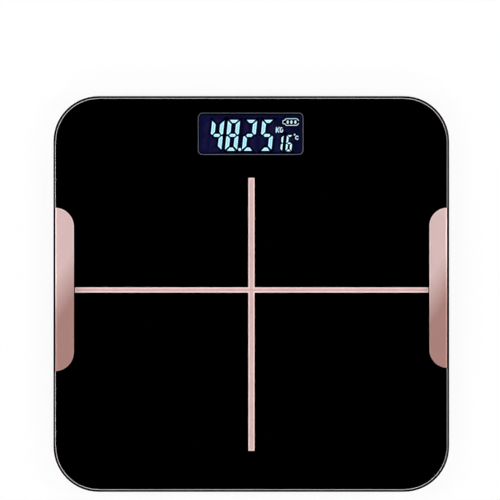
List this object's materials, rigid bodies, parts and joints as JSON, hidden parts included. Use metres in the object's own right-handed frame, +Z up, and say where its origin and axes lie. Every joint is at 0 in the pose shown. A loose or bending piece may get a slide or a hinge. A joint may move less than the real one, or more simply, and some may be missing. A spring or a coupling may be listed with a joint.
{
  "type": "digital bathroom scale",
  "caption": "Slim square bathroom scale: black-backed glass platform with a rose-gold cross and edge plates, lit display, moulded base and rubber feet.",
  "frame": {"origin": "on the floor, under the middle of the platform", "axes": "+Z up through the platform, +Y towards the display, +X to the right as the display is read"},
  "size_m": [0.28, 0.28, 0.025],
  "materials": {
    "clear_glass": "polished, clear tempered glass",
    "black_print": "opaque black screen print on the back of the glass",
    "rose_print": "rose-gold screen print with paler edges",
    "grey_print": "grey screen print",
    "rose_metal": "rose-gold anodised aluminium, satin with bright-cut edges",
    "tape_foam": "closed-cell foam tape",
    "tray_abs": "black ABS, fine spark-eroded texture",
    "seat_abs": "black ABS",
    "cell_steel": "stamped spring steel",
    "silicone": "white silicone sealant",
    "screw_steel": "zinc-plated steel",
    "foot_abs": "black ABS",
    "pad_rubber": "dark grey moulded rubber",
    "lcd_glass": "dark blue liquid crystal panel",
    "guide_acrylic": "frosted acrylic",
    "strip_rubber": "layered contact rubber",
    "holder_abs": "white ABS",
    "board_laminate": "green solder mask",
    "chip_resin": "black epoxy",
    "part_resin": "moulded electronic parts",
    "switch_plastic": "black nylon",
    "plunger_plastic": "white nylon",
    "button_abs": "dark grey ABS",
    "battery_sleeve": "printed sleeve",
    "contact_steel": "nickel-plated spring steel",
    "door_abs": "black ABS, fine spark-eroded texture",
    "wire_pvc": "PVC sleeve"
  },
  "bodies": {
    "base": {"glass_platform": "clear_glass", "back_coat": "black_print", "cross_print": "rose_print", "display_outline": "grey_print", "left_edge_plate": "rose_metal", "right_edge_plate": "rose_metal", "adhesive_tape": "tape_foam", "base_tray": "tray_abs", "seat_front_left": "seat_abs", "seat_front_right": "seat_abs", "seat_rear_left": "seat_abs", "seat_rear_right": "seat_abs", "seat_screws": "screw_steel", "load_cell_front_left": "cell_steel", "load_cell_front_right": "cell_steel", "load_cell_rear_left": "cell_steel", "load_cell_rear_right": "cell_steel", "gauge_sealant": "silicone", "foot_cup_front_left": "foot_abs", "foot_cup_front_right": "foot_abs", "foot_cup_rear_left": "foot_abs", "foot_cup_rear_right": "foot_abs", "foot_pad_front_left": "pad_rubber", "foot_pad_front_right": "pad_rubber", "foot_pad_rear_left": "pad_rubber", "foot_pad_rear_right": "pad_rubber", "lcd_panel": "lcd_glass", "light_guide": "guide_acrylic", "guide_lamps": "guide_acrylic", "contact_strip": "strip_rubber", "lcd_holder": "holder_abs", "circuit_board": "board_laminate", "board_screws": "screw_steel", "main_chip": "chip_resin", "board_parts": "part_resin", "temperature_sensor": "part_resin", "switch_body": "switch_plastic", "battery_one": "battery_sleeve", "battery_two": "battery_sleeve", "bridge_contact": "contact_steel", "positive_contact": "contact_steel", "negative_contact": "contact_steel", "contact_springs": "contact_steel", "wires_front_left": "wire_pvc", "wires_front_right": "wire_pvc", "wires_rear_left": "wire_pvc", "wires_rear_right": "wire_pvc", "battery_wires": "wire_pvc"},
    "door": {"battery_door": "door_abs"},
    "button": {"unit_button": "button_abs"},
    "plunger": {"switch_plunger": "plunger_plastic"}
  },
  "joints": [
    {"name": "door_hinge", "type": "hinge", "parent": "base", "child": "door", "pos_m": [0, 0.0711, 0.004], "axis": [1, 0, 0], "range_deg": [0, 80]},
    {"name": "unit_button_press", "type": "slide", "parent": "base", "child": "button", "axis": [0, 0, 1], "range_m": [0, 0.0003], "stiffness_N_per_m": 2500},
    {"name": "plunger_press", "type": "slide", "parent": "base", "child": "plunger", "axis": [0, 0, 1], "range_m": [0, 0.0003]}
  ],
  "couplings": [
    {"joint": "plunger_press", "follows": "unit_button_press", "ratio": 1}
  ]
}
